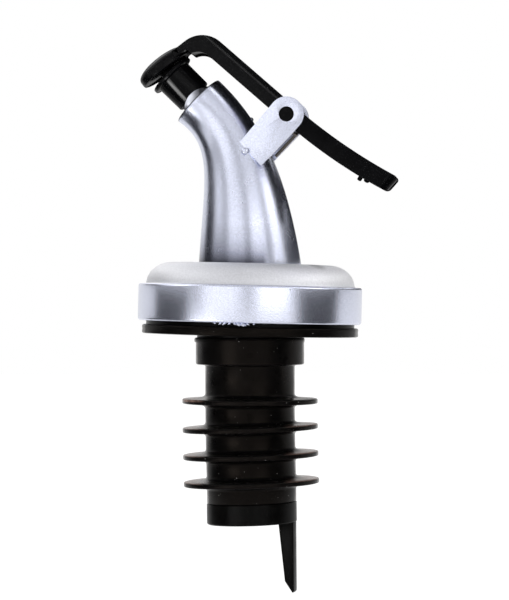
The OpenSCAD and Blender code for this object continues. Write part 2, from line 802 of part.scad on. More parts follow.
// Torsion spring round the pin: a bent leg on the spout's back, the turns, and a short leg under the tail
leg_angle = coil_start - back_bend;
tail_leg_depth = lever_t / 2 - bar_lift - tail_leg * tail_leg / (2 * tail_low_r) + wire_d / 2 + rest_gap;
tail_leg_lift = atan2(coil_d / 2, tail_leg) - asin(tail_leg_depth / norm([coil_d / 2, tail_leg]));
coil_end = 4 * 360 + 270 - bar_slope + tail_leg_lift;
coil_turns = (coil_end - coil_start) / 360;
coil_rings = ceil(coil_turns * rings_per_turn);
function spoke(a) = [cos(a), sin(a)];
function along(a) = [-sin(a), cos(a)];
coil_middles = [
    for (j = [0:coil_rings])
        let (a = coil_start + j * 360 * coil_turns / coil_rings) pivot + coil_d / 2 * spoke(a)
];
leg_bend = coil_middles[0] - back_first * along(coil_start);
leg_end = leg_bend - back_leg * along(leg_angle);
coil_ys = [for (j = [0:coil_rings]) coil_w * (0.5 - j / coil_rings)];
coil_least_gap = min([
    for (j = [0:coil_rings - rings_per_turn + 1], k = [j + rings_per_turn - 1:coil_rings])
        norm(concat(coil_middles[j] - coil_middles[k], coil_ys[j] - coil_ys[k]))
]) - wire_d;
module return_spring() {
    echo(str("Return spring's least gap to itself: ", coil_least_gap, " mm"));
    middles = concat(
        [leg_end, leg_bend],
        coil_middles,
        [coil_middles[coil_rings] + tail_leg * along(coil_end)]
    );
    ys = concat([coil_ys[0], coil_ys[0]], coil_ys, [coil_ys[coil_rings]]);
    spokes = concat(
        [spoke(leg_angle), spoke(coil_start - back_bend / 2)],
        [for (j = [0:coil_rings]) spoke(coil_start + j * 360 * coil_turns / coil_rings)],
        [spoke(coil_end)]
    );
    rings = [
        for (j = [0:len(middles) - 1])
            let (turned = ring(middles[j], spokes[j], wire_d / 2, wire_sides, ys[j]))
                [for (i = [0:wire_sides - 1]) turned[wire_sides - 1 - i]]
    ];
    color("gray") rod(rings, wire_sides);
}

spout_shell();
mouth_sleeve();
base_cap();
foot_seal();
core_tube();
rim_gasket();
stopper_sleeve();
vent_end_ring();
air_tube();
lever();
plug();
pivot_pin();
return_spring();
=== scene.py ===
# %% [markdown]
# # A lever pourer for a bottle
# The part is already built in CAD, and every piece here sits in the CAD model's frame, in metres. We load that
# frame first and keep its nodes, so that each node's box can be printed beside the piece that stands for it.

# %% Load the frame
import bpy
from math import asin, atan2, cos, degrees, hypot, pi, radians, sin, sqrt, tan
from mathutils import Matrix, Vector


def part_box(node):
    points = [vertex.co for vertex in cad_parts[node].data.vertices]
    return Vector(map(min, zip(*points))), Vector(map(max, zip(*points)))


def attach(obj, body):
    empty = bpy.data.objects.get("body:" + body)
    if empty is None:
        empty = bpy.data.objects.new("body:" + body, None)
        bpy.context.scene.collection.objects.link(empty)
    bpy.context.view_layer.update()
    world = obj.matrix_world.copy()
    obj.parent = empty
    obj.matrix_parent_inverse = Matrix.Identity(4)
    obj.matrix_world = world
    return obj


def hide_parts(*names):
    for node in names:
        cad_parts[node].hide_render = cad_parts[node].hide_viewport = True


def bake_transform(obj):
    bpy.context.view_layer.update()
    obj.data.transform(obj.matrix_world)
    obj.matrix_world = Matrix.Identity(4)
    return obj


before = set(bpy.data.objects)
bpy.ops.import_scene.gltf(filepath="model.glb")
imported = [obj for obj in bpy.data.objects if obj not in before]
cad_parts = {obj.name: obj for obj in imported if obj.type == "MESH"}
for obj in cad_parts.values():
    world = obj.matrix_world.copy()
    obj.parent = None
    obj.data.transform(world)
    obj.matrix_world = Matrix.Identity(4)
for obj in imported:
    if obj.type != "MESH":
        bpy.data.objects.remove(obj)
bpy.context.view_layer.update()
scene = bpy.context.scene
scene.view_settings.view_transform = "Standard"
mm = 0.001
print("CAD nodes:", ", ".join(sorted(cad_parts)))

# %% [markdown]
# ## Camera
# The photograph is taken with a long lens, level with the base cap and a few degrees round to the right. The lens
# is worked out from how many pixels a millimetre takes at the part's distance.

# %% Camera
camera_turn, camera_distance = radians(5.5), 0.440
pixels_per_mm, photo_tall, sensor = 5.882, 600, 36
camera_aim = Vector((0.77, 0, 5.95)) * mm
camera_place = camera_aim + camera_distance * Vector((sin(camera_turn), -cos(camera_turn), 0))
bpy.ops.object.select_all(action="DESELECT")
bpy.ops.object.camera_add(location=camera_place, rotation=(radians(90), 0, camera_turn))
camera = bpy.context.object
camera.name = "photo_camera"
camera.data.lens = pixels_per_mm * camera_distance / mm / photo_tall * sensor
camera.data.clip_start = 0.01
scene.camera = camera
print("lens", round(camera.data.lens, 1), "mm")

# %% [markdown]
# ## Light
# Satin metal is only as good as what it reflects. The band of the real cap shows a light edge, a dark stripe, a
# broad soft panel on each side of the camera and a grey gap between them, and the dome shows a pale ceiling. So
# that is what we set up. A lamp's power is set from how bright its face should look, 1 being white.

# %% Lamps
def soft_panel(name, turn, rise, width, tall, glow, distance=0.7):
    turn, rise = radians(turn), radians(rise)
    place = distance * Vector((sin(turn) * cos(rise), -cos(turn) * cos(rise), sin(rise)))
    bpy.ops.object.light_add(type="AREA", location=place)
    lamp = bpy.context.object
    lamp.name = name
    lamp.data.shape = "RECTANGLE"
    lamp.data.size, lamp.data.size_y = width, tall
    lamp.data.energy = glow * pi * width * tall
    lamp.rotation_euler = (-place).to_track_quat("-Z", "Y").to_euler()


soft_panel("panel_left", -23.5, 11, 0.51, 0.36, 1.0)
soft_panel("panel_right", 29.5, 11, 0.44, 0.36, 1.6)
soft_panel("panel_left_side", -79, 36, 0.34, 0.56, 2.0, 0.8)
soft_panel("panel_right_side", 79, 36, 0.40, 0.56, 1.9, 0.8)
soft_panel("panel_front_top", 5, 50, 1.2, 0.5, 0.6, 0.75)
soft_panel("panel_ceiling", 180, 70, 1.8, 1.3, 1.05, 0.75)
soft_panel("panel_low_left", -40, -22, 0.05, 0.05, 3.0, 0.10)

# %% [markdown]
# ## Nodes for finishes
# A finish is a small graph of nodes. To keep the recipes short, a few helpers come first: one makes a finish, one
# adds a node with its settings, one links two sockets, and one feeds a socket of the finish's shader.

# %% Nodes and links
def new_finish(name):
    finish = bpy.data.materials.new(name)
    finish.use_nodes = True
    return finish


def shader_of(finish):
    return finish.node_tree.nodes["Principled BSDF"]


def add_node(finish, kind, **settings):
    made = finish.node_tree.nodes.new(kind)
    for key, value in settings.items():
        if key in made.inputs:
            made.inputs[key].default_value = value
        else:
            setattr(made, key, value)
    return made


def link(finish, start, end):
    finish.node_tree.links.new(start, end)


def feed(finish, value, socket):
    link(finish, value, shader_of(finish).inputs[socket])


print("node helpers ready")

# %% [markdown]
# A pattern is read by its place. Object coordinates are in metres, so a grain of a fifth of a millimetre needs a
# scale of about five thousand. A span turns a reading into a number between two others, and a ramp turns it into a
# colour. Helpers for these keep every finish to a few lines.

# %% Patterns and mixes
def object_place(finish):
    return add_node(finish, "ShaderNodeTexCoord").outputs["Object"]


def noise(finish, scale, detail):
    made = add_node(finish, "ShaderNodeTexNoise", Scale=scale, Detail=detail)
    link(finish, object_place(finish), made.inputs["Vector"])
    return made.outputs["Fac"]


def grey(level):
    return (level, level, level)


def ramp(finish, value, stops):
    made = add_node(finish, "ShaderNodeValToRGB")
    marks = made.color_ramp.elements
    marks[0].position, marks[0].color = stops[0][0], (*stops[0][1], 1)
    marks[1].position, marks[1].color = stops[-1][0], (*stops[-1][1], 1)
    for position, colour in stops[1:-1]:
        marks.new(position).color = (*colour, 1)
    link(finish, value, made.inputs["Fac"])
    return made.outputs["Color"]


def span(finish, value, low, high, start=0.3, end=0.7):
    made = add_node(finish, "ShaderNodeMapRange")
    for key, number in (("From Min", start), ("From Max", end), ("To Min", low), ("To Max", high)):
        made.inputs[key].default_value = number
    link(finish, value, made.inputs["Value"])
    return made.outputs["Result"]


def worked_out(finish, operation, *values):
    made = add_node(finish, "ShaderNodeMath", operation=operation)
    for value, socket in zip(values, made.inputs):
        link(finish, value, socket)
    return made.outputs[0]


def times(finish, first, second):
    return worked_out(finish, "MULTIPLY", first, second)


def mixed(finish, share, first, second, way="MIX"):
    made = add_node(finish, "ShaderNodeMix", data_type="RGBA", blend_type=way)
    for key, value in (("Factor", share), ("A", first), ("B", second)):
        if isinstance(value, bpy.types.NodeSocket):
            link(finish, value, made.inputs[key])
        else:
            made.inputs[key].default_value = value
    return made.outputs["Result"]


def shaded(finish, tone, shade, share=1.0):
    return mixed(finish, share, tone, shade, "MULTIPLY")


def bump(finish, height, strength, distance):
    made = add_node(finish, "ShaderNodeBump", Strength=strength, Distance=distance)
    link(finish, height, made.inputs["Height"])
    feed(finish, made.outputs["Normal"], "Normal")


print("pattern helpers ready")

# %% [markdown]
# Most marks on this part lie along a line or at a distance from the axis, so the last helpers measure that. The
# part is drawn in side view: a point there has x to the right and y up, in millimetres, and `at` puts it into
# the frame. `upward` and `sideward` give the directions of a leaning line.

# %% Measures on a surface
def at(point, y=0.0):
    return Vector((point.x * mm, y * mm, point.y * mm))


def upward(lean):
    return Vector((-sin(radians(lean)), cos(radians(lean))))


def sideward(lean):
    return Vector((cos(radians(lean)), sin(radians(lean))))


def place_of(finish):
    apart = add_node(finish, "ShaderNodeSeparateXYZ")
    link(finish, object_place(finish), apart.inputs[0])
    return apart.outputs


def measured(finish, operation, place, other=None):
    made = add_node(finish, "ShaderNodeVectorMath", operation=operation)
    link(finish, place, made.inputs[0])
    if other is not None:
        made.inputs[1].default_value = other
    return made.outputs


def along(finish, start, direction):
    from_start = measured(finish, "SUBTRACT", object_place(finish), at(start))["Vector"]
    return measured(finish, "DOT_PRODUCT", from_start, (direction.x, 0, direction.y))["Value"]


def off_axis(finish):
    level = measured(finish, "MULTIPLY", object_place(finish), (1, 1, 0))["Vector"]
    return measured(finish, "LENGTH", level)["Value"]


print("measure helpers ready")

# %% [markdown]
# ## Floor and wall
# The floor and the round wall are plain white. To the camera and in reflections they glow softly, so they read as
# white without more light on the part, and a share of plain white paint keeps the part's shadow. In reflections the
# wall's front half fades, so that the room behind the camera stays dim.

# %% Floor and wall
def studio_white(name, glow, paint_share, front=1.0):
    finish = new_finish(name)
    finish.cycles.emission_sampling = "NONE"
    finish.node_tree.nodes.clear()
    rays = add_node(finish, "ShaderNodeLightPath").outputs
    falloff = span(finish, place_of(finish)["Y"], front, 1.0, 0.0, 0.6)
    reflected = worked_out(finish, "MAXIMUM", rays["Is Glossy Ray"], rays["Is Transmission Ray"])
    seen = worked_out(finish, "MAXIMUM", rays["Is Camera Ray"], times(finish, reflected, falloff))
    paint = add_node(finish, "ShaderNodeBsdfDiffuse", Color=(0.9, 0.9, 0.9, 1))
    light = add_node(finish, "ShaderNodeEmission", Strength=glow)
    both = add_node(finish, "ShaderNodeMixShader")
    link(finish, span(finish, seen, 0, 1 - paint_share, 0, 1), both.inputs[0])
    link(finish, paint.outputs[0], both.inputs[1])
    link(finish, light.outputs[0], both.inputs[2])
    link(finish, both.outputs[0], add_node(finish, "ShaderNodeOutputMaterial").inputs["Surface"])
    return finish


floor_z, floor_r, wall_r, wall_tall = -0.0440, 1.6, 1.3, 1.2
bpy.ops.object.select_all(action="DESELECT")
bpy.ops.mesh.primitive_circle_add(vertices=96, radius=floor_r, fill_type="NGON", location=(0, 0, floor_z))
floor = bpy.context.object
floor.name = "floor"
floor.data.materials.append(studio_white("floor_white", 1.12, 0.12))

bpy.ops.mesh.primitive_cylinder_add(vertices=128, radius=wall_r, depth=wall_tall, end_fill_type="NOTHING",
                                    location=(0, 0, floor_z + wall_tall / 2))
wall = bpy.context.object
wall.name = "white_wall"
wall.data.materials.append(studio_white("wall_white", 1.0, 0.0, 0.1))
print("floor at", floor_z)

# %% [markdown]
# ## Cards
# A photographer puts black cards round shiny metal to draw dark stripes down its sides. Ours are slices of a round
# wall close to the part, from one direction to another in degrees round to the right. Only reflections see them.

# %% Black and grey cards
def card_paint(name, level):
    finish = new_finish(name)
    paint = shader_of(finish)
    paint.inputs["Base Color"].default_value = (level, level, 1.5 * level, 1)
    paint.inputs["Roughness"].default_value = 1.0
    paint.inputs["Specular IOR Level"].default_value = 0.0
    return finish


card_black, card_grey = card_paint("card_black", 0.012), card_paint("card_grey", 0.3)


def card(name, first, last, low, high, distance, finish=card_black):
    bpy.ops.mesh.primitive_circle_add(vertices=180, radius=distance, location=(0, 0, low))
    made = bpy.context.object
    made.name = name
    bpy.ops.object.mode_set(mode="EDIT")
    bpy.ops.mesh.select_all(action="SELECT")
    bpy.ops.mesh.extrude_region_move(TRANSFORM_OT_translate={"value": (0, 0, high - low)})
    bpy.ops.mesh.select_all(action="DESELECT")
    bpy.ops.object.mode_set(mode="OBJECT")
    for face in made.data.polygons:
        face.select = not first <= degrees(atan2(face.center.x, -face.center.y)) <= last
    bpy.ops.object.mode_set(mode="EDIT")
    bpy.ops.mesh.delete(type="FACE")
    bpy.ops.object.mode_set(mode="OBJECT")
    made.data.materials.append(finish)
    made.visible_camera = made.visible_diffuse = False


card("card_band_left", -92, -50, floor_z, 0.0125, 0.06)
card("card_band_right", 48, 92, floor_z, 0.0125, 0.06)
card("card_spout_left", -114, -82, 0.013, 0.035, 0.05)
card("card_spout_right", 94, 178, 0.019, 0.050, 0.12)
card("card_neck_left", -116, -92, floor_z, -0.004, 0.09)
card("card_neck_right", 150, 180, 0.040, 0.090, 0.05)
card("card_neck_grey", 58, 150, 0.054, 0.095, 0.05, card_grey)
card("card_mid_right", 102, 152, 0.034, 0.047, 0.05)
card("card_back", -180, -174, 0.019, 0.090, 0.12)

# %% [markdown]
# ## Room light
# A little bluish light comes from everywhere else, so that no corner of the part is quite black.

# %% Room light
world = bpy.data.worlds.new("studio")
scene.world = world
world.use_nodes = True
room = world.node_tree.nodes["Background"]
room.inputs["Color"].default_value = (0.80, 0.84, 1.0, 1)
room.inputs["Strength"].default_value = 0.08
print("room light", round(room.inputs["Strength"].default_value, 2))

# %% [markdown]
# ## Silver paint
# The spout and the cap are painted a satin silver with a slight violet tint. The flakes in the paint show as a very
# fine grain, and the gloss drifts a little from place to place. The insert and the spring take the same recipe with
# other colours.

# %% Silver finishes
def silver(name, light, dark, gloss, metallic, grain):
    finish = new_finish(name)
    flakes, drift = noise(finish, 4200, 2), noise(finish, 260, 3)
    fine = ramp(finish, flakes, [(0.32, dark), (0.68, light)])
    broad = ramp(finish, drift, [(0.3, tuple(0.96 * c for c in light)), (0.7, light)])
    tone = mixed(finish, 0.35, fine, broad)
    feed(finish, tone, "Base Color")
    feed(finish, span(finish, drift, gloss - 0.015, gloss + 0.02), "Roughness")
    shader_of(finish).inputs["Metallic"].default_value = metallic
    bump(finish, flakes, grain, 0.03 * mm)
    return finish, tone


silver_paint, spout_tone = silver("silver_paint_finish", (0.625, 0.65, 0.765), (0.475, 0.495, 0.59), 0.26, 0.99, 0.5)
cap_silver, cap_tone = silver("cap_silver_finish", (0.645, 0.67, 0.785), (0.50, 0.52, 0.615), 0.26, 0.94, 0.5)
bright_insert, insert_tone = silver("bright_insert_finish", (0.74, 0.76, 0.84), (0.66, 0.68, 0.76), 0.30, 0.98, 0.08)
spring_steel = silver("spring_steel_finish", (0.15, 0.135, 0.12), (0.09, 0.08, 0.07), 0.30, 1.0, 0.20)[0]
print("silver finishes made")

# %% [markdown]
# The spout's paint is darkened by height towards its foot, a painted shade for the corner where it meets the cap,
# left out on the right, which stays bright with reflected light. The rim of its mouth gets a painted dark line, the
# shade in the gap at the insert, and the right of the insert inside it is darkened, a painted reflection of the plug.

# %% Painted shade at the foot and rim
mouth, mouth_tilt = Vector((-8.85, 39.9)), 45.4
mouth_axis = upward(mouth_tilt)
spout_at = place_of(silver_paint)
# painted shade: the paint darkens towards the foot, in the corner by the cap, but not on the right, which stays
# bright
up_the_spout = span(silver_paint, spout_at["Z"], 0, 1, 12.4 * mm, 19.0 * mm)
foot_painted_shade = ramp(silver_paint, up_the_spout, [(0.0, (0.14, 0.14, 0.15)), (0.15, (0.34, 0.34, 0.36)),
                                          (0.3, (0.55, 0.55, 0.57)), (0.6, (0.80, 0.80, 0.81)), (1.0, grey(1))])
foot_shade_share = span(silver_paint, spout_at["X"], 1, 0, 3.0 * mm, 5.0 * mm)
foot_shaded_tone = shaded(silver_paint, spout_tone, foot_painted_shade, foot_shade_share)
# painted shade: a dark line along the mouth's rim, for the shaded gap at the insert
at_rim = span(silver_paint, along(silver_paint, mouth, mouth_axis), 0, 1, -0.28 * mm, -0.12 * mm)
rim_painted_shade = ramp(silver_paint, at_rim, [(0, grey(1)), (1, grey(0.12))])
feed(silver_paint, shaded(silver_paint, foot_shaded_tone, rim_painted_shade), "Base Color")

# painted reflection: the insert darkens to the right, where it would mirror the black plug
to_the_right = span(bright_insert, place_of(bright_insert)["X"], 0, 1, -10.2 * mm, -8.2 * mm)
insert_painted_reflection = ramp(bright_insert, to_the_right, [(0, grey(1)), (0.45, grey(0.6)), (1, grey(0.06))])
feed(bright_insert, shaded(bright_insert, insert_tone, insert_painted_reflection), "Base Color")
print("grime and dark rim added; the mouth leans", mouth_tilt, "degrees")

# %% [markdown]
# The cap's dome is rubbed matt and greyer than its band. We tell them apart by their distance from the axis. The
# dome is painted paler towards its ends, for the light that falls on its sides, and has one darker patch, and the
# band has a few dark pits, spots of a Voronoi pattern that a noise thins out.

# %% Matt dome
def specked(finish, tone, colour, share, scale):
    spots = add_node(finish, "ShaderNodeTexVoronoi", Scale=scale)
    link(finish, object_place(finish), spots.inputs["Vector"])
    near = span(finish, spots.outputs["Distance"], 1, 0, 0.05, 0.13)
    some = span(finish, noise(finish, 0.6 * scale, 1), 0, share, 0.58, 0.64)
    return mixed(finish, times(finish, near, some), tone, (*colour, 1))


on_dome = span(cap_silver, off_axis(cap_silver), 1, 0, 17.75 * mm, 18.05 * mm)
grain = ramp(cap_silver, noise(cap_silver, 3600, 2), [(0.3, grey(0.89)), (0.7, grey(1))])
# painted light: the dome's tone is paler towards both ends, where more light falls from the sides
across_dome = span(cap_silver, place_of(cap_silver)["X"], 0, 1, -18 * mm, 18 * mm)
dome_side_light = ramp(cap_silver, across_dome, [(0, (0.78, 0.78, 0.80)), (0.25, (0.67, 0.673, 0.70)),
                                        (0.5, (0.63, 0.633, 0.66)), (0.7, (0.72, 0.723, 0.75)),
                                        (0.85, (0.86, 0.86, 0.88)), (1, (0.96, 0.96, 0.97))])
# one darker patch on the dome's front right
dark_patch_middle = Vector((11.6, -8.6, 11.6)) * mm
from_dark_patch = measured(cap_silver, "DISTANCE", object_place(cap_silver), dark_patch_middle)["Value"]
dark_patch = ramp(cap_silver, span(cap_silver, from_dark_patch, 1, 0, 0.7 * mm, 2.2 * mm), [(0, grey(1)), (1, grey(0.62))])
matt = shaded(cap_silver, shaded(cap_silver, dome_side_light, grain), dark_patch)
pitted = specked(cap_silver, cap_tone, (0.12, 0.12, 0.13), 0.7, 650)
feed(cap_silver, mixed(cap_silver, on_dome, pitted, matt), "Base Color")
feed(cap_silver, span(cap_silver, on_dome, 0.26, 0.60, 0, 1), "Roughness")
print("matt dome added")

# %% [markdown]
# ## Black plastic and rubber
# The lever and plug are a glossy black, and the stopper is a softer rubber with a dry sheen and a few specks of
# dust. Rubber shines at a grazing angle, so its shine rises there. The lever and plug would turn grey along their
# undersides by that, so theirs falls instead.

# %% Black finishes
def facing_shine(finish, shine, edge_shine):
    facing = add_node(finish, "ShaderNodeLayerWeight", Blend=0.5).outputs["Facing"]
    if edge_shine:
        return span(finish, facing, shine, edge_shine, 0.75, 0.97)
    return span(finish, facing, shine, 0, 0.70, 0.88)


def black(name, colour, gloss, shine, edge_shine, grain, grain_size, dust=0.0):
    finish = new_finish(name)
    drift = noise(finish, 420, 4)
    tone = ramp(finish, drift, [(0.3, tuple(0.75 * c for c in colour)), (0.72, tuple(1.3 * c for c in colour))])
    if dust:
        tone = specked(finish, tone, (0.45, 0.44, 0.42), dust, 1500)
    feed(finish, tone, "Base Color")
    feed(finish, span(finish, drift, gloss - 0.05, gloss + 0.06), "Roughness")
    feed(finish, facing_shine(finish, shine, edge_shine), "Specular IOR Level")
    bump(finish, noise(finish, grain_size, 3), grain, 0.04 * mm)
    return finish


lever_black = black("lever_black_finish", (0.0022, 0.0022, 0.0026), 0.24, 0.06, 0, 0.06, 2600)
plug_rubber = black("plug_rubber_finish", (0.0020, 0.0020, 0.0024), 0.18, 0.05, 0, 0.04, 2200)
pin_black = black("pin_black_finish", (0.0022, 0.0022, 0.0024), 0.42, 0.05, 0.2, 0.20, 4000)
core_black = black("core_black_finish", (0.0020, 0.0019, 0.0018), 0.32, 0.04, 0.1, 0.15, 3000)
seal_rubber = black("seal_rubber_finish", (0.0028, 0.0026, 0.0024), 0.32, 0.04, 0.7, 0.25, 3500, 0.5)
stopper_rubber = black("stopper_rubber_finish", (0.0030, 0.0028, 0.0028), 0.30, 0.05, 1.0, 0.25, 3500, 0.7)
air_plastic = black("air_plastic_finish", (0.05, 0.055, 0.06), 0.35, 0.5, 0.6, 0.10, 3000)
for warm in (seal_rubber, stopper_rubber):
    shader_of(warm).inputs["Specular Tint"].default_value = (1.0, 0.80, 0.66, 1)
print("black finishes made")

# %% [markdown]
# The lever's bar gets a painted highlight: a narrow line of stronger shine in its upper third, with less shine above
# it. It lies on the bar's sides only, and ends before the hinge, so it is placed by height over the bar, by reach
# along it and by distance sideways.

# %% Painted highlight line on the bar
pivot, bar_tilt, lever_t = Vector((6.65, 37.15)), 41.1, 3.1
bar_up, bar_down = upward(-bar_tilt), sideward(-bar_tilt)
bar_root = pivot + 0.35 * bar_up
over_bar = span(lever_black, along(lever_black, bar_root, bar_up), 0, 1, -lever_t / 2 * mm, lever_t / 2 * mm)
# painted highlight: a narrow line of stronger shine across the bar's upper third, with less shine above it
bar_highlight_line = ramp(lever_black, over_bar, [(0, grey(0.11)), (0.64, grey(0.13)), (0.68, grey(1)), (0.72, grey(1)),
                                         (0.78, grey(0)), (1, grey(0))])
before_hinge = span(lever_black, along(lever_black, bar_root, bar_down), 1, 0, -3.0 * mm, -1.0 * mm)
beside = worked_out(lever_black, "ABSOLUTE", place_of(lever_black)["Y"])
on_side = times(lever_black, before_hinge, span(lever_black, beside, 0, 1, 3.7 * mm, 4.0 * mm))
bar_shine = span(lever_black, times(lever_black, on_side, bar_highlight_line), 0.035, 0.3, 0, 1)
feed(lever_black, times(lever_black, bar_shine, facing_shine(lever_black, 1, 0)), "Specular IOR Level")
print("polished line added to a bar that leans", bar_tilt, "degrees")

# %% [markdown]
# The plug gets a painted highlight, a strip of stronger shine down its front. It is a narrow band along a line that
# starts under the flange.

# %% Painted highlight strip on the plug
def strip(finish, offset, half):
    there = span(finish, offset, 0, 1, -half * 1.4, -half * 0.7)
    return times(finish, there, span(finish, offset, 1, 0, half * 0.7, half * 1.4))


strip_top, strip_down = Vector((-13.9, 43.55)), Vector((0.643, -0.766))
strip_across = Vector((0.766, 0.643))
# painted highlight: a narrow strip of stronger shine down the plug's front
highlight = strip(plug_rubber, along(plug_rubber, strip_top, strip_across), 0.3 * mm)
below_top = span(plug_rubber, along(plug_rubber, strip_top, strip_down), 0, 1, -0.1 * mm, 0.1 * mm)
in_front = span(plug_rubber, place_of(plug_rubber)["Y"], 1, 0, -0.5 * mm, 0)
highlight = span(plug_rubber, times(plug_rubber, times(plug_rubber, highlight, below_top), in_front), 0.05, 0.8, 0, 1)
feed(plug_rubber, times(plug_rubber, highlight, facing_shine(plug_rubber, 1, 0)), "Specular IOR Level")
print("polished strip added")

# %% [markdown]
# The tops of the stopper's fins get a painted brownish light out at their left and right ends, where light catches
# them. The four are evenly spaced, so the height along the leaning stopper is counted in steps, and the upper part of
# each step is painted brown out on the fin.

# %% Painted light on the fin tops
rubber, fin_step, fin_count, slump = stopper_rubber, 4.6, 4, 1.9
up_the_fins = along(rubber, Vector((0, -27.3)), upward(slump))
in_step = worked_out(rubber, "FRACT", span(rubber, up_the_fins, 0, fin_count, 0, fin_count * fin_step * mm))
aside = worked_out(rubber, "ABSOLUTE", place_of(rubber)["X"])
on_fin = times(rubber, span(rubber, off_axis(rubber), 0, 1, 8.2 * mm, 9.4 * mm),
               span(rubber, aside, 0, 1, 6.5 * mm, 9.5 * mm))
# painted light: a brownish glow on the tops of the fins out at their ends
lit_fin_top = times(rubber, on_fin, span(rubber, in_step, 0, 1, 0.55, 0.59))
rubber_tone = shader_of(rubber).inputs["Base Color"].links[0].from_socket
fin_top_light = ramp(rubber, noise(rubber, 900, 3), [(0.35, (0.08, 0.045, 0.035)), (0.65, (0.22, 0.14, 0.115))])
feed(rubber, mixed(rubber, lit_fin_top, rubber_tone, fin_top_light), "Base Color")
print("brown added to", fin_count, "fins")

# %% [markdown]
# ## Tools of the bench
# A turned piece starts as a circle that is extruded ring by ring up its profile, like work on a lathe. A bent tube
# is a row of rings that are bridged into a skin and given a wall, and a flat outline starts as a circle whose points
# are put in place. Edges are rounded by a bevel, and a shape is cut by taking another away from it.

# %% Selecting and shaping
def clear_selection():
    if bpy.context.mode != "OBJECT":
        bpy.ops.object.mode_set(mode="OBJECT")
    bpy.ops.object.select_all(action="DESELECT")


def pick(piece):
    clear_selection()
    piece.select_set(True)
    bpy.context.view_layer.objects.active = piece


def edit_all():
    bpy.ops.object.mode_set(mode="EDIT")
    bpy.ops.mesh.select_all(action="SELECT")


def extrude(step):
    bpy.ops.mesh.extrude_region_move(TRANSFORM_OT_translate={"value": step})


def turn_about(angle, middle):
    bpy.ops.transform.rotate(value=angle, orient_axis="Y", center_override=at(middle))


def merged(piece):
    if bpy.context.mode != "EDIT_MESH":
        pick(piece)
        bpy.ops.object.mode_set(mode="EDIT")
    bpy.ops.mesh.select_all(action="SELECT")
    bpy.ops.mesh.remove_doubles(threshold=0.002 * mm)
    bpy.ops.mesh.normals_make_consistent(inside=False)
    bpy.ops.object.mode_set(mode="OBJECT")


def modify(piece, kind, **settings):
    pick(piece)
    made = piece.modifiers.new(kind.lower(), kind)
    for key, value in settings.items():
        setattr(made, key, value)
    bpy.ops.object.modifier_apply(modifier=made.name)


def rounded(piece, width, segments=3, angle=35):
    modify(piece, "BEVEL", width=width * mm, segments=segments, limit_method="ANGLE", angle_limit=radians(angle),
           miter_outer="MITER_ARC")


def cut_away(piece, tool, operation="DIFFERENCE"):
    modify(piece, "BOOLEAN", operation=operation, solver="EXACT", object=tool)
    bpy.data.objects.remove(tool)


print("bench: selecting and shaping")

# %% [markdown]
# The next helpers start a piece from a ring, in one of three ways: turned, bridged or flat.

# %% Starting a piece
def ring(name, sides, radius):
    clear_selection()
    bpy.ops.mesh.primitive_circle_add(vertices=sides, radius=radius * mm, location=(0, 0, 0))
    piece = bpy.context.object
    piece.name = name
    edit_all()
    return piece


def turned(name, profile, sides=160, closed=True):
    profile = [(max(radius, 0.001), height) for radius, height in profile]
    radius, height = profile[0]
    piece = ring(name, sides, radius)
    bpy.ops.transform.translate(value=(0, 0, height * mm))
    for next_radius, next_height in profile[1:] + ([profile[0]] if closed else []):
        extrude((0, 0, (next_height - height) * mm))
        scale = next_radius / radius
        bpy.ops.transform.resize(value=(scale, scale, 1), center_override=(0, 0, next_height * mm))
        radius, height = next_radius, next_height
    merged(piece)
    return piece


def skinned(name, rings, sides, wall):
    middle, radius, turn = rings[0]
    piece = ring(name, sides, radius)
    bpy.ops.transform.translate(value=at(middle))
    for middle, radius, turn in rings[1:]:
        bpy.ops.mesh.primitive_circle_add(vertices=sides, radius=radius * mm, location=at(middle),
                                          rotation=(0, -turn, 0))
    bpy.ops.mesh.select_all(action="SELECT")
    bpy.ops.mesh.bridge_edge_loops()
    merged(piece)
    modify(piece, "SOLIDIFY", thickness=wall * mm, offset=-1)
    return piece


def outlined(name, places, fill="NGON"):
    clear_selection()
    bpy.ops.mesh.primitive_circle_add(vertices=len(places), radius=1 * mm, fill_type=fill, location=(0, 0, 0))
    piece = bpy.context.object
    piece.name = name
    for corner, place in zip(piece.data.vertices, places):
        corner.co = place
    return piece


print("bench: starting a piece")

# %% [markdown]
# Last come the helpers that put a piece in its place and join it to others. A finished piece gets its finish, is
# hung on an empty for the body that carries it, when one is given, and hides the CAD node it stands for.

# %% Placing and handing over
def placed(piece, x, z, tilt, lay=0, y=0):
    pick(piece)
    piece.rotation_euler = (radians(lay), radians(tilt), 0)
    piece.location = (x * mm, y * mm, z * mm)
    bpy.ops.object.transform_apply(location=True, rotation=True, scale=True)
    return piece


def joined(name, pieces):
    clear_selection()
    for piece in pieces:
        piece.select_set(True)
    bpy.context.view_layer.objects.active = pieces[0]
    bpy.ops.object.join()
    pieces[0].name = name
    return pieces[0]


def finished(piece, finish, node, body="pourer", angle=40):
    pick(piece)
    bpy.ops.object.shade_smooth_by_angle(angle=radians(angle))
    piece.data.materials.clear()
    piece.data.materials.append(finish)
    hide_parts(node)
    if body:
        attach(piece, body)
    low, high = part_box(node)
    print(piece.name, len(piece.data.polygons), "faces; node from",
          [round(v / mm, 1) for v in low], "to", [round(v / mm, 1) for v in high])


print("bench: placing and handing over")

# %% [markdown]
# ## Base cap
# The cap is a turned metal shell: a straight band, a narrow ledge, and a dome with a flat top that the spout stands
# on. On the real part it sits a little out of square, so the shell leans by just over a degree. A few flakes of paint
# hang under the band's front.

# %% Base cap
band_r, band_z, shoulder_z, cap_z = 19.0, 2.4, 8.4, 12.1
dome_foot_r, dome_top_r, cap_inner_r, cap_hole_r, cap_wall = 17.7, 13.4, 17.2, 9.0, 1.8
edge_r, lip_r, lip_drop, cap_lean, cap_middle = 0.4, 0.45, 0.25, 1.35, 5.4


def quarter(r, z, wide, tall, step, first=0):
    return [(r + wide * cos(radians(a)), z + tall * sin(radians(a))) for a in range(first, first + 91, step)]


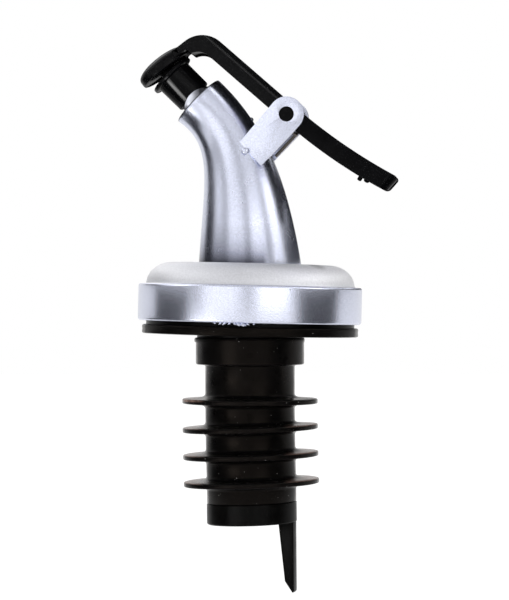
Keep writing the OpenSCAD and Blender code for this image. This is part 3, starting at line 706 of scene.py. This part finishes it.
dome = quarter(dome_top_r, shoulder_z, dome_foot_r - dome_top_r, cap_z - shoulder_z, 5)
band_edge = quarter(band_r - edge_r, shoulder_z - edge_r, edge_r, edge_r, 15)
band_lip = quarter(band_r - lip_r, band_z - lip_drop + lip_r, lip_r, lip_r, 15, -90)
cap_profile = [(cap_inner_r, band_z), (17.8, band_z), (17.85, band_z - lip_drop)] + band_lip + band_edge + [
    (dome_foot_r + 0.25, shoulder_z), (dome_foot_r + 0.05, shoulder_z + 0.12)] + dome[1:] + [
    (cap_hole_r, cap_z), (cap_hole_r, cap_z - cap_wall), (dome_top_r, cap_z - cap_wall),
    (cap_inner_r, shoulder_z - cap_wall)]
cap = turned("base_cap_shell", cap_profile, 240)
flakes = []
for x, size in ((-3.9, 0.30), (-3.0, 0.36), (-2.3, 0.42), (-1.5, 0.36), (-0.6, 0.36), (0.1, 0.52), (0.8, 0.58),
                (1.5, 0.36), (2.5, 0.26)):
    flake = turned("paint_flake", [(0, -0.5 * size), (0.8 * size, -0.3 * size), (size, 0), (0.6 * size, 0.4 * size),
                                   (0, 0.5 * size)], 7, False)
    flakes.append(placed(flake, x, band_z - 0.26 - 0.3 * size, 25 * sin(9 * x), 15 * cos(7 * x),
                         -sqrt(18.6 ** 2 - x * x)))
cap = joined("base_cap_shell", [cap] + flakes)
placed(cap, 0, -cap_middle, 0)
placed(cap, 0, cap_middle, cap_lean)
finished(cap, cap_silver, "base_cap", angle=32)

# %% [markdown]
# ## Core
# Under the cap shows a thin black flange, which belongs to the core tube. The flange leans with the cap, and the
# tube itself stays straight, inside the stopper, so the two are turned apart and joined.

# %% Core tube
core = turned("core_tube_body", [(5.0, -30.5), (6.6, -30.5), (6.6, -0.4), (9.0, -0.4), (9.0, 2.0), (10.4, 2.0),
                                 (10.4, 8.5), (8.9, 8.5), (8.9, 6.95), (7.1, 6.95), (7.1, 8.5), (5.0, 8.5)], 96)
flange = turned("core_flange", [(8.4, 1.2), (17.5, 1.2), (17.7, 1.4), (17.7, 2.2), (17.5, 2.4), (17.1, 2.4),
                                (17.1, 4.4), (15.4, 4.4), (15.4, 2.4), (8.4, 2.4)], 160)
placed(flange, 0, 0, cap_lean)
core = joined("core_tube_body", [core, flange])
rounded(core, 0.08, 2)
finished(core, core_black, "core_tube")

# %% [markdown]
# ## Rim gasket
# The soft ring that seals on the bottle's rim lies under the flange. Its edge is rounded and slightly hollow, so
# its profile is drawn point by point, and it leans nearly as much as the cap.

# %% Rim gasket
gasket_lean = 1.24
gasket_edge = [(18.1, 0), (18.3, 0.08), (18.38, 0.25), (18.32, 0.75), (18.38, 1.2), (18.3, 1.42), (18.1, 1.5),
               (17.8, 1.42), (17.74, 1.2)]
gasket = turned("rim_gasket_ring", [(9.05, 0.3), (12.1, 0.3), (12.2, 0.2), (12.2, 0.05), (12.3, 0)] + gasket_edge + [
    (9.05, 1.2)], 200)
placed(gasket, 0, 0, gasket_lean)
finished(gasket, seal_rubber, "rim_gasket")

# %% [markdown]
# ## Stopper
# The stopper is a soft sleeve with a collar and four fins. We turn it straight and then bend it point by point: each
# slice of the mesh is tipped and shifted a little more towards the lower end, as the rubber sits on the real part.
# The collar's left lip is pulled out by a hair.

# %% Stopper sleeve
def slumped(piece):
    for point in piece.data.vertices:
        down = -point.co.z / mm
        depth = min(max(down - 9, 0), 16)
        tip = radians(slump) * min(max(down - 11.6, 0) / 3.4, 1)
        shift = (radians(slump) * depth * depth / 32 + radians(0.6) * max(down - 25, 0)) * mm
        x = point.co.x
        point.co.x = x * cos(tip) + shift
        point.co.z += x * sin(tip)
    piece.data.update()


fin_half = [(7.6, 1.25), (7.68, 1.0), (7.9, 0.8), (8.5, 0.6), (9.4, 0.5), (11.2, 0.44), (11.42, 0.38), (11.5, 0.25)]
stopper_profile = [(6.62, -28.4), (7.45, -28.4), (7.6, -28.25)]
for place in (-25.0, -20.4, -15.8, -11.2):
    stopper_profile += [(radius, place - half) for radius, half in fin_half]
    stopper_profile += [(radius, place + half) for radius, half in reversed(fin_half)]
stopper_profile += [(7.6, -5.3), (7.75, -5.1), (8.0, -5.0), (8.9, -5.0), (9.12, -4.92), (9.2, -4.7), (9.2, -1.3),
                    (9.28, -1.1), (9.32, -0.8), (9.22, -0.5), (8.9, -0.4), (6.62, -0.4)]
stopper = turned("stopper_rubber_sleeve", stopper_profile, 160)
lip_z, lip_x, lip_pull = -1.25 * mm, -6 * mm, 0.05
for point in stopper.data.vertices:
    if point.co.z > lip_z and point.co.x < lip_x:
        point.co.x -= lip_pull * (lip_x - point.co.x)
slumped(stopper)
finished(stopper, stopper_rubber, "stopper_sleeve", angle=50)

# %% [markdown]
# ## End ring and air tongue
# A hard ring holds the sleeve's lower end, and a tapered tongue hangs from it with the air hole inside. The tongue
# is one flat outline that is spun through a small angle about the axis. Both slump with the stopper.

# %% End ring
end_ring = turned("vent_end_ring_body", [(4.1, -31.9), (7.45, -31.9), (7.65, -31.7), (7.65, -28.5), (7.55, -28.4),
                                         (6.62, -28.4), (6.62, -30.5), (4.1, -30.5)], 128)
tongue_half, air_x, air_r = radians(18), 5.3, 0.75
tongue_outline = [(4.85, -31.3), (4.85, -32.2), (5.9, -41.8), (7.3, -43.8), (7.52, -43.55), (7.55, -31.3)]
tongue = outlined("air_tongue", [(x * mm, 0, z * mm) for x, z in tongue_outline])
edit_all()
bpy.ops.transform.rotate(value=-tongue_half, orient_axis="Z", center_override=(0, 0, 0))
bpy.ops.mesh.spin(steps=18, angle=2 * tongue_half, center=(0, 0, 0), axis=(0, 0, 1))
merged(tongue)
print("tongue turns from", round(min(v.co.y for v in tongue.data.vertices) / mm, 2), "to",
      round(max(v.co.y for v in tongue.data.vertices) / mm, 2))
rounded(tongue, 0.2, 3)
merged(tongue)
clear_selection()
bpy.ops.mesh.primitive_cylinder_add(vertices=32, radius=air_r * mm, depth=20 * mm, location=(air_x * mm, 0, -36 * mm))
cut_away(tongue, bpy.context.object)
end_ring = joined("vent_end_ring_body", [end_ring, tongue])
slumped(end_ring)
finished(end_ring, core_black, "vent_end_ring")

# %% [markdown]
# ## Spout
# The spout leans over as it narrows. Its front and back are two smooth curves in side view, each drawn with two
# pulls as a pen tool does, and a section at any step spans from one to the other.

# %% Spout outlines
mouth_d, foot_d = 9.8, 17.4
mouth_across = sideward(mouth_tilt)
front_foot, back_foot = Vector((-foot_d / 2, cap_z)), Vector((foot_d / 2, cap_z))
front_mouth, back_mouth = mouth - mouth_across * mouth_d / 2, mouth + mouth_across * mouth_d / 2
front = [front_foot, front_foot + 14.2 * upward(-3.6), front_mouth - 7.5 * upward(56), front_mouth]
back = [back_foot, back_foot + 11.5 * upward(9.5), back_mouth - 12.6 * upward(47), back_mouth]


def on_curve(curve, t):
    s = 1 - t
    return s ** 3 * curve[0] + 3 * s ** 2 * t * curve[1] + 3 * s * t * t * curve[2] + t ** 3 * curve[3]


def section(t):
    low, high = on_curve(front, t), on_curve(back, t)
    return (low + high) / 2, (high - low).length / 2, atan2(high.y - low.y, high.x - low.x)


print("spout half way up is", round(2 * section(0.5)[1], 2), "mm across")

# %% [markdown]
# At each step along the two curves we set a circle that spans from one to the other, then bridge the circles into a
# skin and give it a wall. The first circle lies a little below the cap's top, so that no gap shows.

# %% Spout skin
spout_steps, spout_sink = 48, 0.8
spout_foot = (Vector((0, cap_z - spout_sink)), foot_d / 2, 0)
spout_rings = [spout_foot] + [section(step / spout_steps) for step in range(spout_steps + 1)]
spout = skinned("spout_skin", spout_rings, 128, 1.0)
rounded(spout, 0.18, 3, 50)
print("spout skin", len(spout.data.polygons), "faces")

# %% [markdown]
# The hinge ears are flat plates with a round end about the pin. One outline and the pin's hole are bridged, given
# their thickness, and copied to the far side. The plate's outer face has a slight draft, as a casting needs.

# %% Hinge ears
ear_r, ear_t, ear_y, ear_tilt, ear_len, ear_foot_w = 2.95, 1.2, 5.65, 47.6, 8.8, 2.7
ear_hole_r, ear_draft = 1.28, radians(2.5)
ear_along, ear_side = -sideward(ear_tilt), upward(ear_tilt)
ear_foot = pivot + ear_len * ear_along
outline = [pivot + ear_r * (cos(a) * ear_side - sin(a) * ear_along) for a in [pi * i / 40 for i in range(41)]]
outline += [ear_foot - ear_foot_w * ear_side + 0.5 * ear_along, ear_foot + ear_foot_w * ear_side]
ear = outlined("hinge_ear", [at(place, -ear_y) for place in outline], "NOTHING")
bpy.ops.object.mode_set(mode="EDIT")
bpy.ops.mesh.primitive_circle_add(vertices=48, radius=ear_hole_r * mm, location=at(pivot, -ear_y),
                                  rotation=(radians(90), 0, 0))
bpy.ops.mesh.select_all(action="SELECT")
bpy.ops.mesh.bridge_edge_loops()
bpy.ops.mesh.select_all(action="SELECT")
extrude((0, ear_t * mm, 0))
merged(ear)
for point in ear.data.vertices:
    if point.co.y < -(ear_y - 0.1) * mm:
        point.co.y += tan(ear_draft) * (pivot.x * mm + ear_r * mm - point.co.x)
rounded(ear, 0.16, 3, 50)
pick(ear)
bpy.ops.object.duplicate()
far_ear = bpy.context.object
edit_all()
bpy.ops.transform.translate(value=(0, (2 * ear_y - ear_t) * mm, 0))
bpy.ops.object.mode_set(mode="OBJECT")
print("ears", len(ear.data.polygons), "and", len(far_ear.data.polygons), "faces")

# %% [markdown]
# A foot flange under the cap holds the spout, and two small marks are left from casting: a round gate on its side
# and a pip on its back.

# %% Spout joined
foot_flange = turned("spout_foot_flange", [(6.5, 8.5), (10.4, 8.5), (10.4, 10.3), (8.7, 10.3), (8.7, 11.9),
                                           (6.5, 11.9)], 96)
gate = turned("mould_gate", [(0, 5.4), (0.55, 5.4), (0.52, 5.95), (0.4, 6.05), (0.2, 6.1), (0, 6.1)], 24, False)
placed(gate, -0.26, 31.0, 0, 90)
pip = turned("mould_pip", [(0, -0.5), (0.45, -0.5), (0.4, 0.0), (0.25, 0.2), (0, 0.26)], 16, False)
placed(pip, 0.3, 36.7, 45)
spout = joined("spout_body", [spout, ear, far_ear, foot_flange, gate, pip])
finished(spout, silver_paint, "spout_shell", angle=32)

# %% [markdown]
# ## Mouth sleeve
# A bright insert lines the mouth. It carries the seat that the plug closes on, and a low rounded cheek stands on
# each side of the plug. The cheeks are a tall ring, of which only what lies inside a wide cylinder is kept.

# %% Mouth sleeve
sleeve = turned("mouth_sleeve_body", [(3.35, -2.5), (3.85, -2.5), (3.85, 0.1), (3.35, 0.1), (2.6, 0.8), (2.2, 0.8),
                                      (2.2, -0.6), (3.35, -0.7)], 96)
cheeks = turned("mouth_cheeks", [(3.35, -0.2), (3.85, -0.2), (3.85, 1.6), (3.35, 1.6)], 160)
cheek_h, cheek_half = 1.2, 2.9
cheek_arc = (cheek_half ** 2 + cheek_h ** 2) / (2 * cheek_h)
clear_selection()
bpy.ops.mesh.primitive_cylinder_add(vertices=160, radius=cheek_arc * mm, depth=20 * mm,
                                    location=(0, 0, (cheek_h - cheek_arc) * mm), rotation=(radians(90), 0, 0))
cut_away(cheeks, bpy.context.object, "INTERSECT")
sleeve = joined("mouth_sleeve_body", [sleeve, cheeks])
rounded(sleeve, 0.07, 2)
placed(sleeve, mouth.x, mouth.y, -mouth_tilt)
finished(sleeve, bright_insert, "mouth_sleeve")

# %% [markdown]
# ## Foot seal and air tube
# These two are inside: the soft ring between the spout and the core, and the thin tube that brings air back into the
# bottle. They are modelled because the part can be taken apart. The tube follows the spout's back wall.

# %% Foot seal and air tube
seal_middle_r, seal_z, seal_wire_r = 8.0, 7.7, 0.75
foot_seal = turned("foot_seal_ring", [(seal_middle_r + seal_wire_r * cos(radians(a)),
                                       seal_z + seal_wire_r * sin(radians(a))) for a in range(0, 360, 20)], 128)
finished(foot_seal, seal_rubber, "foot_seal")

tube_r, tube_wall, tube_reach, foot_wall, mouth_wall, tube_gap = 1.0, 0.33, 0.52, 2.2, 1.0, 1.2
tube_rings = [(Vector((air_x, 7.0)), tube_r, 0), (Vector((air_x, 8.5)), tube_r, 0)]
for step in range(25):
    t = tube_reach * step / 24
    middle, radius, turn = section(t)
    inner = radius - foot_wall - t * (mouth_wall - foot_wall) - tube_gap
    tube_rings.append((middle + inner * Vector((cos(turn), sin(turn))), tube_r, turn))
air_tube = skinned("air_tube_body", tube_rings, 24, tube_wall)
finished(air_tube, air_plastic, "air_tube")

# %% [markdown]
# ## Lever
# The lever is one moulding: a thumb tail that curves up, a straight bar, an arch and a round head. Its side view is
# a row of stations, pairs of an upper and a lower point. Here are those of the tail and the bar.

# %% Tail and bar
bar_slope, lever_w = radians(bar_tilt), 8.5
head_tilt, head_r, head_rise = 37.4, 4.9, 7.3
head_axis, head_across = upward(head_tilt), sideward(head_tilt)
head_middle = mouth + head_rise * mouth_axis
arch_out_r, arch_in_r, arch_rise = 4.75, 2.7, 3.1
arch_drop = (arch_out_r - lever_t / 2) * bar_up
bar_len = ((bar_root - arch_drop - head_middle).dot(head_axis) + arch_rise) / bar_down.dot(head_axis)
tail_len, tail_end_t = 21.4, 3.0
top_r = tail_len / radians(13)
low_r = tail_len ** 2 / (2 * (tail_len ** 2 / (2 * top_r) + lever_t - tail_end_t))


def around(reach, r):
    a = radians(270) - bar_slope + reach / r
    return r * Vector((cos(a), sin(a)))


def tail_pair(reach):
    return (bar_root + (top_r + lever_t / 2) * bar_up + around(reach, top_r),
            bar_root + (low_r - lever_t / 2) * bar_up + around(reach, low_r))


stations = [tail_pair(tail_len * (1 - i / 24)) for i in range(25)]
for i in range(1, 10):
    middle = bar_root - bar_len * i / 10 * bar_down
    stations.append((middle + lever_t / 2 * bar_up, middle - lever_t / 2 * bar_up))
print(len(stations), "stations; bar", round(bar_len, 2), "mm long")

# %% [markdown]
# The arch lies between two circles. Past its top the outside runs level into the head, and the inside stops on the
# head's upper face, so the stations are moved there.

# %% Arch
arch_foot = bar_root - bar_len * bar_down
arch_out = arch_foot - arch_drop
arch_in = arch_foot - (arch_in_r + lever_t / 2) * bar_up
head_sink = 0.4


def arch_pair(a):
    ray, offset = Vector((cos(a), sin(a))), arch_in - arch_out
    reach = -offset.dot(ray) + sqrt(offset.dot(ray) ** 2 - offset.length_squared + arch_out_r ** 2)
    return arch_in + reach * ray, arch_in + arch_in_r * ray


def level_top(point):
    past_top = (point - arch_out).dot(head_across) < 0
    return point + (arch_out_r - (point - arch_out).dot(head_axis)) * head_axis if past_top else point


def above_head(point):
    depth = head_sink - (point - head_middle).dot(head_axis)
    under = depth > 0 and (point - head_middle).dot(head_across) < head_r + 0.05
    return point + depth * head_axis if under else point


def on_head(reach, height):
    return head_middle + reach * head_across + height * head_axis


for i in range(27):
    outer, inner = arch_pair(pi / 2 - bar_slope + radians(i * 4))
    stations.append((level_top(outer), above_head(inner)))
stations += [(on_head(3.0, 1.5), on_head(2.9, head_sink)), (on_head(2.5, 1.2), on_head(2.45, head_sink))]
print(len(stations), "stations with the arch")

# %% [markdown]
# One short edge is now extruded from station to station, turned and scaled each time to fit the next pair. That
# draws the side view as a strip of quads, and a solidify gives it its width.

# %% Lever strip
clear_selection()
bpy.ops.mesh.primitive_plane_add(size=1 * mm, location=(0, 0, 0))
lever = bpy.context.object
lever.name = "lever_moulding"
edit_all()
bpy.ops.mesh.merge(type="CENTER")
bpy.ops.transform.translate(value=at(stations[0][0]))
extrude(at(stations[0][1] - stations[0][0]))
bpy.ops.mesh.select_all(action="SELECT")
least_change = 1e-6
for before, after in zip(stations, stations[1:]):
    middle = (after[0] + after[1]) / 2
    old, new = before[1] - before[0], after[1] - after[0]
    extrude(at((after[0] + after[1] - before[0] - before[1]) / 2))
    turn, grow = old.angle_signed(new), new.length / old.length
    if abs(turn) > least_change:
        turn_about(-turn, middle)
    if abs(grow - 1) > least_change:
        bpy.ops.transform.resize(value=(grow, 1, grow), center_override=at(middle))
bpy.ops.object.mode_set(mode="OBJECT")
last = [Vector((v.co.x, v.co.z)) / mm for v in list(lever.data.vertices)[-2:]]
print("last station", [tuple(round(c, 2) for c in p) for p in last], "wanted",
      [tuple(round(c, 2) for c in p) for p in stations[-1]])
modify(lever, "SOLIDIFY", thickness=lever_w * mm, offset=0)
merged(lever)

# %% [markdown]
# All edges get a small bevel. The thumb end has larger round corners, seen from the side and from above, and a bevel
# of that size would run into its neighbours, so each corner is cut off by a prism with a hollow side.

# %% Lever edges
def prism(name, points, depth):
    tool = outlined(name, [point * mm for point in points])
    edit_all()
    extrude(depth * mm)
    merged(tool)
    return tool


def corner_off(piece, corner, inward, down, depth, radius):
    middle = corner + radius * (inward + down)
    arc = [middle - radius * (cos(a) * inward + sin(a) * down) for a in [pi / 2 * i / 12 for i in range(13)]]
    outside = [corner + radius * inward - down, corner - inward - down, corner - inward + radius * down]
    cut_away(piece, prism("corner_tool", [point - depth / 2 for point in outside + arc], depth))


def on_plane(point):
    return Vector((point.x, 0, point.y))


rounded(lever, 0.55, 4, 40)
tail_top, tail_low = on_plane(stations[0][0]), on_plane(stations[0][1])
tail_in = (on_plane(stations[1][0] + stations[1][1]) - tail_top - tail_low).normalized()
tail_thick, sideways = (tail_low - tail_top).normalized(), Vector((0, 1, 0))
corner_off(lever, tail_top, tail_in, tail_thick, 12 * sideways, 0.85)
corner_off(lever, tail_low, tail_in, -tail_thick, 12 * sideways, 0.75)
for side in (-1, 1):
    tail_side = (tail_top + tail_low) / 2 + side * lever_w / 2 * sideways
    corner_off(lever, tail_side, tail_in, -side * sideways, 6 * tail_thick, 2.0)
merged(lever)
print("lever edges", len(lever.data.polygons), "faces")

# %% [markdown]
# The hinge barrel is turned on its own. A pocket for the spring is cut out of it and of the lever, and the lever
# also gets a slot that lets it swing past the spring's leg.

# %% Hinge barrel and pocket
def pocket_out(piece):
    bpy.ops.mesh.primitive_cylinder_add(vertices=64, radius=2.5 * mm, depth=5.5 * mm, rotation=(radians(90), 0, 0),
                                        location=at(pivot))
    cut_away(piece, bpy.context.object)


pocket_out(lever)
slot_y, slot_w = 1.5, 1.25
swing = [(0, 0), (-2.5, -6.8), (2.42, -7.0), (3.25, -1.16), (3.2, -0.83), (2.2, 0.95)]
slot_corners = [Vector((pivot.x + x, slot_y, pivot.y + z)) for x, z in swing]
cut_away(lever, prism("leg_slot", slot_corners, slot_w * sideways))
barrel = turned("lever_barrel", [(1.25, -4.25), (2.15, -4.25), (2.3, -4.1), (2.3, 4.1), (2.15, 4.25),
                                 (1.25, 4.25)], 96)
placed(barrel, pivot.x, pivot.y, 0, 90)
pocket_out(barrel)
print("lever with its pocket", len(lever.data.polygons), "faces")

# %% [markdown]
# The head is a shallow dome on a rim, and a stem below it carries the plug. Two small nibs under the tail are marks
# that the mould leaves.

# %% Lever head, stem and nibs
head_dome = [(head_r * cos(radians(a)) ** 0.8 if a < 90 else 0, 1.1 + 1.5 * sin(radians(a))) for a in range(0, 91, 6)]
head = turned("lever_head", [(0, 0), (4.6, 0), (4.82, 0.1), (4.9, 0.3)] + head_dome, 128, False)
placed(head, head_middle.x, head_middle.y, -head_tilt)
stem = turned("lever_stem", [(0, 3.0), (1.5, 3.0), (1.5, 7.9), (0, 7.9)], 48, False)
placed(stem, mouth.x, mouth.y, -mouth_tilt)
nibs = []
for reach, nib_r, nib_len in ((16.1, 0.4, 0.75), (17.25, 0.48, 0.41)):
    nib_at, nib_out = tail_pair(reach)[1], around(reach, low_r).normalized()
    nib = turned("tail_nib", [(0, -0.4), (nib_r, -0.4), (nib_r, nib_len - 0.2), (0.7 * nib_r, nib_len - 0.05),
                              (0, nib_len)], 24, False)
    nibs.append(placed(nib, nib_at.x, nib_at.y, 90 - degrees(atan2(nib_out.y, nib_out.x))))
lever = joined("lever_moulding", [lever, barrel, head, stem] + nibs)
finished(lever, lever_black, "lever", "lever_arm")

# %% [markdown]
# ## Plug and pin
# The plug is a soft turned piece with a thin flange under the head. The pin is turned as well, with thicker ends
# that fill the holes of the ears and stop just short of their faces.

# %% Plug and pin
plug = turned("plug_soft_body", [(0, 0.9), (2.95, 0.9), (3.14, 0.97), (3.22, 1.16), (3.26, 5.5), (3.36, 5.78),
                                 (3.95, 5.92), (4.05, 6.02), (4.05, 6.5), (3.95, 6.6), (1.52, 6.6), (1.52, 2.9),
                                 (0, 2.9)], 128, False)
placed(plug, mouth.x, mouth.y, -mouth_tilt)
finished(plug, plug_rubber, "plug", "lever_arm", 50)
pin_end = [(0, 5.5), (1.08, 5.5), (1.22, 5.45), (1.27, 5.3), (1.27, 4.6), (1.19, 4.45)]
pin = turned("pivot_pin_body", [(radius, -reach) for radius, reach in pin_end] + pin_end[::-1], 64, False)
placed(pin, pivot.x, pivot.y, 0, 90)
finished(pin, pin_black, "pivot_pin")

# %% [markdown]
# ## Return spring
# The spring is one wire: a bent leg on the spout's back, almost four turns round the pin, and a short leg under the
# tail. A small circle is extruded along the leg, then carried round the pin step by step. The short leg follows the
# lever, and the turns between take up the twist.

# %% Return spring
coil_r, coil_w, wire_r, coil_steps = 1.95, 4.2, 0.3, 176
tail_leg, back_first, back_leg, back_bend = 3.25, 2.1, 5.9, radians(33.1)
leg_depth = lever_t / 2 - 0.35 - tail_leg ** 2 / (2 * low_r) + wire_r + 0.1
leg_lift = atan2(coil_r, tail_leg) - asin(leg_depth / hypot(coil_r, tail_leg))
coil_start, coil_end = radians(350), radians(4 * 360 + 270) - bar_slope + leg_lift


def coil_ahead(a, reach):
    return reach * Vector((-sin(a), cos(a)))


coil_foot = pivot + coil_r * Vector((cos(coil_start), sin(coil_start)))
leg_bend = coil_foot - coil_ahead(coil_start, back_first)
start = leg_bend - coil_ahead(coil_start - back_bend, back_leg)
spring = ring("return_spring_wire", 16, wire_r)
turn_about(coil_start - back_bend, Vector((0, 0)))
bpy.ops.transform.translate(value=at(start, coil_w / 2))
extrude(at(leg_bend - start))
turn_about(back_bend / 2, leg_bend)
extrude(at(coil_foot - leg_bend))
turn_about(back_bend / 2, coil_foot)
for step in range(coil_steps):
    extrude((0, -coil_w / coil_steps * mm, 0))
    turn_about((coil_end - coil_start) / coil_steps, pivot)
extrude(at(coil_ahead(coil_end, tail_leg)))
bpy.ops.mesh.select_all(action="SELECT")
bpy.ops.mesh.fill_holes(sides=0)
merged(spring)
finished(spring, spring_steel, "return_spring", None, 50)
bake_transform(spring)
tip = spring.data.vertices[len(spring.data.vertices) - 1].co / mm
wanted = pivot + coil_r * Vector((cos(coil_end), sin(coil_end))) + coil_ahead(coil_end, tail_leg)
print("spring leg ends near", [round(c, 2) for c in tip], "wanted", [round(c, 2) for c in wanted])
